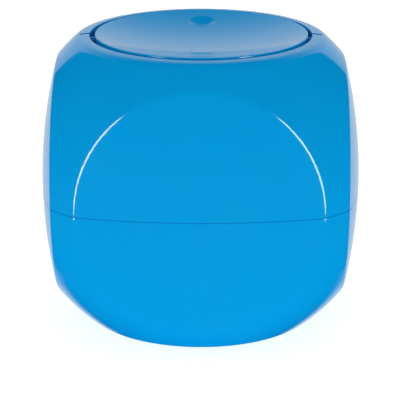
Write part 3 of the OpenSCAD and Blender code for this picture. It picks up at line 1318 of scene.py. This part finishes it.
@dataclass
class Lid:
    """The dished lid with its rounded edge, dimple, hubs and lugs.

    Attributes:
        origin: The middle of the land at the lid's place.
        rim: Radius of the lid.
        edge: Radius of the rounded top edge.
        rise: Height of the lid's edge over the land.
        dish_depth: Depth of the dish below the edge.
        skirt: Depth of the skirt below the land.
        foot: Radius of the edge at the foot of the skirt.
        axis_z: Height of the pivot's axis, over the land.
        skin: Thickness of the lid's skin.
        dimple: Radius of the dimple's mouth.
        dimple_depth: Depth of the dimple.
        dimple_y: Distance of the dimple behind the lid's middle.
        dimple_soft: How softly the dimple meets the dish.
        columns: Number of columns round the lid.
    """

    origin: Point = (0.001, 0.0, 0.4365)
    rim: float = 0.159497
    edge: float = 0.002
    rise: float = 0.0014
    dish_depth: float = 0.0214
    skirt: float = 0.013
    foot: float = 0.0008
    axis_z: float = -0.010
    skin: float = 0.003
    dimple: float = 0.0195
    dimple_depth: float = 0.006
    dimple_y: float = 0.115997
    dimple_soft: float = 0.0016
    columns: int = 320

    @property
    def edge_ring(self) -> float:
        """Radius of the circle that the middle of the rounded edge follows."""
        return self.rim - self.edge

    @property
    def edge_z(self) -> float:
        """Height of the middle of the rounded edge, over the land."""
        return self.rise - self.edge

    @property
    def dish(self) -> float:
        """Radius of the dish's ball, which meets the rounded edge without a step."""
        over = self.dish_depth - self.edge
        return (self.edge_ring ** 2 + over ** 2 - self.edge ** 2) / (2 * self.dish_depth)

    @property
    def dish_middle(self) -> float:
        """Height of the middle of the dish's ball, over the land."""
        return self.rise - self.dish_depth + self.dish

    @property
    def lean(self) -> float:
        """Slope where the dish meets the rounded edge, in radians."""
        return math.atan(self.edge_ring / (self.dish_middle - self.edge_z))

    def dish_height(self, x: np.ndarray, y: np.ndarray) -> np.ndarray:
        """Height of the dish over the land, with the dimple sunk into it."""
        dish = self.dish_middle - np.sqrt(self.dish ** 2 - x ** 2 - y ** 2)
        bowl_ball = (self.dimple ** 2 + self.dimple_depth ** 2) / (2 * self.dimple_depth)
        lean = math.asin(self.dimple_y / self.dish)
        back = self.dish + self.dimple_depth - bowl_ball
        cy, cz = back * math.sin(lean), self.dish_middle - back * math.cos(lean)
        square = bowl_ball ** 2 - x ** 2 - (y - cy) ** 2
        bowl = np.where(square > 0, cz - np.sqrt(np.maximum(square, 0)), 1.0)
        near = np.maximum(self.dimple_soft - np.abs(dish - bowl), 0) / self.dimple_soft
        return np.minimum(dish, bowl) - near ** 3 * self.dimple_soft / 6

    def surface(self) -> Sheet:
        """The lid's outer surface, from the dimple's middle to the foot of the skirt."""
        turn = np.arange(self.columns) * math.tau / self.columns
        blend = self.edge_ring - self.edge * math.sin(self.lean)
        far = np.stack([blend * np.cos(turn), blend * np.sin(turn)], 1)
        middle = np.array([0.0, self.dimple_y])
        ray = far - middle
        length = np.linalg.norm(ray, axis=1, keepdims=True)
        unit = ray / length
        rows = []
        near = [0.002, 0.005, 0.008, 0.011, 0.0135, 0.0155, *np.arange(0.0165, 0.0234, 0.0005)]
        for radius in near:
            rows.append(middle + unit * radius)
        start = near[-1]
        for share in np.linspace(0, 1, 26)[1:] ** 1.3:
            rows.append(middle + unit * (start + (length - start) * share))
        raised = [np.column_stack([row, self.dish_height(row[:, 0], row[:, 1])]) for row in rows]
        edge = arc((self.edge_ring, self.edge_z), self.edge, 90 + math.degrees(self.lean), 0, 14)
        foot = (self.rim - self.foot, -self.skirt + self.foot)
        side = [(self.rim, z) for z in (-0.007, -0.010, foot[1])]
        raised += rings(edge[1:] + side + arc(foot, self.foot, 0, -90, 3)[1:], turn)
        hub = self.dish_height(np.array([0.0]), np.array([self.dimple_y]))[0]
        sheet = Sheet()
        sheet.add_rows(raised, closed=True, flip=True)
        sheet.add_fan((0, self.dimple_y, float(hub)), raised[0], closed=True)
        return sheet

    def inside(self) -> Sheet:
        """The lid's hidden underside, from the foot of the skirt to below the dimple."""
        turn = np.arange(self.columns) * math.tau / self.columns
        inner = self.rim - self.skin
        rows = rings([(self.rim - self.foot, -self.skirt), (inner, -self.skirt)], turn)
        for radius in np.linspace(inner, 0.004, 20):
            points = ring(radius, 0.0, turn)
            points[:, 2] = self.dish_height(points[:, 0], points[:, 1]) - self.skin
            rows.append(points)
        sheet = Sheet()
        sheet.add_rows(rows, closed=True, flip=True)
        hub = float(self.dish_height(np.array([0.0]), np.array([0.0]))[0]) - self.skin
        sheet.add_fan((0, 0, hub), rows[-1], closed=True, flip=True)
        return sheet

    def hub_and_lug(self, side: Side) -> list[bpy.types.Object]:
        """The hub round a pin, its web to the lid, and the lug that stops the lid."""
        hub_length = 0.0159
        hub = lathe("hub", [(0, hub_length), (0.0072, hub_length), (0.008, hub_length - 0.0008),
                            (0.008, 0.0006), (0.0074, 0), (0, 0)], 48)
        place(hub, along_x(self.rim - 0.0005 - hub_length, self.axis_z))
        web = block("web", (0.1436, -0.0078, self.axis_z), (0.1494, 0.0078, -0.0036), 0.0005)
        lug = block("lug", (0.151497, -0.003, -0.017), (0.157497, 0.003, 0.0), 0.0007)
        lean = Matrix.Rotation(math.radians(45), 4, "X")
        place(lug, Matrix.Translation((0, 0, self.axis_z)) @ lean)
        return [place(piece, on_side(side)) for piece in (hub, web, lug)]

    def make(self) -> bpy.types.Object:
        """The whole lid top."""
        skin = join([self.surface().to_object("lid_top_visible"),
                     self.inside().to_object("lid_inside")])
        weld(skin, WELD)
        pieces = [turn_out(skin)]
        for side in Side:
            pieces += self.hub_and_lug(side)
        lid = join(pieces)
        return smooth(place(lid, Matrix.Translation(self.origin)))


# ----------------------------------------------------------------------------------------------
# Trim: pins, screws, pads and feet
# ----------------------------------------------------------------------------------------------


class ScatterTree(PieceTree):
    """Geometry Nodes that put a copy of a small piece on each of the given points."""

    def __init__(self) -> None:
        """Builds the tree."""
        super().__init__("trim_on_points", {"Piece": "Object", "Turn Each": "Float"})
        points = self.w.node("GeometryNodeMeshToPoints", {"Mesh": self.entry["Geometry"]})
        piece = self.w.node("GeometryNodeObjectInfo", {"Object": self.entry["Piece"]})
        self.end(self.copies({
            "Points": points.outputs[0], "Instance": piece.outputs["Geometry"],
            "Rotation": self.turned(self.entry["Turn Each"])}))

    def spread(self, name: str, piece: bpy.types.Object, points: list[Point], turn_each: float,
               material: bpy.types.Material) -> bpy.types.Object:
        """Puts copies of a piece on points, as one plain mesh.

        Args:
            name: Name of the new object.
            piece: The piece, which is used up.
            points: Where the copies go.
            turn_each: How far each copy is turned beyond the one before, in radians.
            material: The material.

        Returns:
            The new object.
        """
        mesh = bpy.data.meshes.new(name)
        mesh.from_pydata(points, [], [])
        many = link(bpy.data.objects.new(name, mesh))
        self.run(many, {"Piece": piece, "Turn Each": turn_each, "Material": material})
        bpy.data.objects.remove(piece)
        return many


@dataclass
class Trim:
    """The small pieces: pins, screws, rest pads and feet.

    Attributes:
        lid: The lid, for its place.
        hood: The hood, for its pads.
        pin_radius: Radius of the pins.
        pin_ends: Where each pin starts and ends, from the lid's middle.
        screw_ring: Radius of the circle that the screws lie on.
        screw_seat: Height of the screws' seats, over the land.
        screw_turn: How far each screw is turned beyond the one before, in radians.
        foot_place: Distance of the feet from the middle, along X and along Y.
    """

    lid: Lid
    hood: Hood
    pin_radius: float = 0.0045
    pin_ends: tuple[float, float] = (0.143497, 0.180197)
    screw_ring: float = 0.091997
    screw_seat: float = -0.023978
    screw_turn: float = 0.7
    foot_place: float = 0.1

    def pin(self, side: Side) -> bpy.types.Object:
        """A pivot pin with softened ends."""
        root, tip = self.pin_ends
        r, soft = self.pin_radius, 0.0007
        length = tip - root
        outline = [(0, length), *arc((r - soft, length - soft), soft, 90, 0, 4),
                   *arc((r - soft, soft), soft, 0, -90, 4), (0, 0)]
        pin = lathe(f"pivot_pin_{side.name.lower()}_visible", outline, 56)
        place(pin, on_side(side) @ along_x(root, self.lid.axis_z))
        return smooth(place(pin, Matrix.Translation(self.lid.origin)), 50)

    def screw(self) -> bpy.types.Object:
        """A pan-headed screw with a six-sided socket, head down, from its seat."""
        outline = [(0, 0.008), (0.0014, 0.008), (0.002, 0.0074), (0.002, 0.0003), (0.0022, 0.0),
                   *arc((0.0034, -0.0006), 0.0006, 90, 0, 3),
                   *arc((0.0026, -0.0010), 0.0014, 0, -90, 5), (0, -0.0024)]
        screw = lathe("screw", outline, 40)
        socket = lathe("socket", [(0, -0.0012), (0.002, -0.0012), (0.002, -0.004), (0, -0.004)],
                       6)
        combine(screw, socket, "DIFFERENCE")
        return smooth(screw, 40)

    def pad(self) -> bpy.types.Object:
        """A rubber rest pad with a rounded top, from its ledge."""
        outline = [(0, 0.003), *arc((0.0030, 0.0020), 0.0010, 90, 0, 4), (0.004, -0.0015),
                   (0, -0.0015)]
        return smooth(lathe("pad", outline, 40), 40)

    def foot(self) -> bpy.types.Object:
        """A rubber foot with a rounded tread and two grooves, from the floor."""
        outline = [(0, 0.0035), (0.015, 0.0035), (0.015, 0.0012),
                   *arc((0.0141, 0.0009), 0.0009, 0, -90, 3), (0.0122, 0), (0.0119, 0.0006),
                   (0.0111, 0.0006), (0.0108, 0), (0.0078, 0), (0.0074, 0.001), (0, 0.001)]
        return smooth(turn_out(lathe("foot", outline, 72)), 40)

    def make(self, tree: ScatterTree, finishes: dict[str, bpy.types.Material]) -> None:
        """Makes every piece of trim and sends it to its body.

        Args:
            tree: The tree that spreads copies.
            finishes: The materials, by slot.
        """
        for side in Side:
            send(self.pin(side), "lid", finishes["pin_plastic"],
                 [f"pivot_pin_{side.name.lower()}"])
        x, _, land = self.lid.origin
        angles = [(i + 0.5) * math.tau / 6 for i in range(6)]
        seats = [(x + self.screw_ring * math.cos(a), self.screw_ring * math.sin(a),
                  land + self.screw_seat) for a in angles]
        screws = tree.spread("lid_screws_visible", self.screw(), seats, self.screw_turn,
                             finishes["screw_steel"])
        send(screws, "lid", finishes["screw_steel"], ["lid_screws"])
        turns = [math.radians(-90 + side.value * self.hood.pad_turn) for side in Side]
        ledges = [(self.hood.pad_ring * math.cos(a), self.hood.pad_ring * math.sin(a),
                   self.hood.land_z + self.hood.ledge_top) for a in turns]
        pads = tree.spread("stop_pads_visible", self.pad(), ledges, 0.0, finishes["foot_rubber"])
        send(pads, "hood", finishes["foot_rubber"],
             ["stop_pad_left", "stop_pad_right"])
        corners = [(i * self.foot_place, j * self.foot_place, 0.0)
                   for i in (-1, 1) for j in (-1, 1)]
        feet = tree.spread("feet_visible", self.foot(), corners, 0.0, finishes["foot_rubber"])
        send(feet, "tub", finishes["foot_rubber"],
             ["foot_front_left", "foot_front_right", "foot_rear_left", "foot_rear_right"])


# ----------------------------------------------------------------------------------------------
# Studio
# ----------------------------------------------------------------------------------------------


@dataclass
class Studio:
    """The camera, the floor, the lamps and the backdrop.

    Attributes:
        aim: The point that the camera looks at.
        distance: Distance of the camera from it.
        azimuth: Angle of the camera to the right of the front, in degrees.
        elevation: Angle of the camera above the horizon, in degrees.
        lens: Focal length in millimetres, on a 36 mm sensor.
        ambient: Strength of the even light from all round.
        panel_at: Place of the right-hand tall panel.
        panel_aim: The point that it faces.
        panel_size: Its width and height.
        panel_watts: Its power.
        wall_level: Brightness of the wall that shows in the gloss.
    """

    aim: Point = (-0.0012, 0.0, 0.1739)
    distance: float = 2.868
    azimuth: float = 0.51
    elevation: float = 18.3
    lens: float = 167.5
    ambient: float = 0.65
    panel_at: Point = (1.765, -1.68, 0.59)
    panel_aim: Point = (0.13, -0.21, 0.59)
    panel_size: tuple[float, float] = (0.80, 2.28)
    panel_watts: float = 62
    wall_level: float = 0.72

    def camera(self) -> None:
        """Puts the camera in place."""
        data = bpy.data.cameras.new("camera")
        data.lens = self.lens
        data.sensor_width = 36.0
        data.clip_end = 50
        camera = link(bpy.data.objects.new("camera", data))
        a, e = math.radians(self.azimuth), math.radians(self.elevation)
        back = Vector((math.sin(a) * math.cos(e), -math.cos(a) * math.cos(e), math.sin(e)))
        camera.location = Vector(self.aim) + back * self.distance
        camera.rotation_mode = "QUATERNION"
        camera.rotation_quaternion = (-back).to_track_quat("-Z", "Y")
        bpy.context.scene.camera = camera

    def panel(self, side: Side) -> None:
        """Adds a tall panel that shows in the gloss, while the even light does the rest."""
        name = f"tall_panel_{side.name.lower()}"
        data = bpy.data.lights.new(name, "AREA")
        data.shape = "ELLIPSE"
        data.size, data.size_y = self.panel_size
        data.energy = self.panel_watts
        lamp = link(bpy.data.objects.new(name, data))
        lamp.location = on_side(side) @ Vector(self.panel_at)
        facing = on_side(side) @ Vector(self.panel_aim) - lamp.location
        lamp.rotation_mode = "QUATERNION"
        lamp.rotation_quaternion = facing.to_track_quat("-Z", "Y")
        lamp.visible_diffuse = False
        lamp.visible_camera = False

    def floor(self) -> None:
        """Adds a pale floor with softly mottled paint."""
        sheet = Sheet()
        angles = np.arange(96) * math.tau / 96
        sheet.add_rows([ring(r, 0.0, angles) for r in (0.5, 2.0, 9.0)], closed=True, flip=True)
        sheet.add_fan((0, 0, 0), ring(0.5, 0.0, angles), closed=True)
        floor = sheet.to_object("floor")
        paint = Paint.start("pale_floor")
        tone = paint.w.mix("RGBA", paint.w.noise(paint.position, 3.0), (0.50, 0.50, 0.50, 1),
                           (0.52, 0.52, 0.52, 1))
        paint.w.fill(paint.shader, {
            "Base Color": tone, "Roughness": 1.0, "Emission Color": (1, 1, 1, 1),
            "Emission Strength": 0.80, "Specular IOR Level": 0.0})
        floor.data.materials.append(paint.material)
        floor.visible_glossy = False

    def backdrop(self) -> None:
        """Lights the world: white to the eye, even for matt light, a lit wall for gloss."""
        world = bpy.data.worlds.new("studio")
        bpy.context.scene.world = world
        world.use_nodes = True
        w = Wiring(world.node_tree)
        world.node_tree.nodes.clear()
        ray = w.node("ShaderNodeLightPath").outputs
        toward = w.node("ShaderNodeTexCoord").outputs["Generated"]
        parts = w.node("ShaderNodeSeparateXYZ", {0: toward}).outputs
        behind = w.spread(parts["Y"], 0.30, 0.45, 0.0, 1.0, "SMOOTHSTEP")
        low = w.spread(parts["Z"], -0.64, -0.52, 0.0, 1.0, "SMOOTHSTEP")
        beside = w.spread(w.math("ABSOLUTE", parts["X"]), 0.555, 0.58, 1.0, 0.0, "SMOOTHSTEP")
        high = w.spread(parts["Z"], 0.30, 0.85, 1.0, 0.0, "SMOOTHSTEP")
        wall = w.math("MULTIPLY", w.math("MULTIPLY", behind, beside),
                      w.math("MULTIPLY", high, low))
        gloss = w.math("MULTIPLY", wall, self.wall_level)
        level = w.mix("FLOAT", ray["Is Glossy Ray"], self.ambient, gloss)
        seen = w.mix("FLOAT", ray["Is Camera Ray"], level, 1.05)
        light = w.node("ShaderNodeBackground", {"Color": (1, 1, 1, 1), "Strength": seen})
        w.node("ShaderNodeOutputWorld", {"Surface": light.outputs[0]})

    def build(self) -> None:
        """Sets up the whole studio."""
        self.camera()
        self.floor()
        self.backdrop()
        for side in Side:
            self.panel(side)
        bpy.context.scene.view_settings.view_transform = "Standard"


# ----------------------------------------------------------------------------------------------


def dress_cad_nodes(finishes: dict[str, bpy.types.Material]) -> None:
    """Gives the CAD nodes that stay in view their materials.

    Args:
        finishes: The materials, by slot.
    """
    for name, slot in (("lid_under", "lid_plastic"), ("tub_rim_seal", "seal_rubber")):
        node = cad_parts[name]
        for place_in in node.material_slots:
            place_in.material = finishes[slot]
        if not node.material_slots:
            node.data.materials.append(finishes[slot])
        log.info("%s: stays as it is, finish %s", name, slot)


def main() -> None:
    """Builds the studio, the shells, the lid and the trim, in that order."""
    logging.basicConfig(level=logging.INFO, format="%(message)s")
    Studio().build()
    skin, wear = moulded_skin(), light_wear()
    finishes = {finish.name: finish.build(skin, wear)
                for finish in (SHELL_PLASTIC, LID_PLASTIC, PIN_PLASTIC, SEAL_RUBBER, FOOT_RUBBER)}
    finishes["screw_steel"] = Steel().build(wear)
    form = DiceForm()
    sides, spreader = SideTree(finishes["shell_plastic"]), ScatterTree()
    hood, lid = Hood(form), Lid()
    send(Tub(form).make(sides), "tub", finishes["shell_plastic"], ["base_tub"])
    send(hood.make(sides), "hood", finishes["shell_plastic"], ["hood_shell"])
    send(lid.make(), "lid", finishes["lid_plastic"], ["lid_top"])
    Trim(lid, hood).make(spreader, finishes)
    dress_cad_nodes(finishes)


if __name__ == "__main__":
    main()
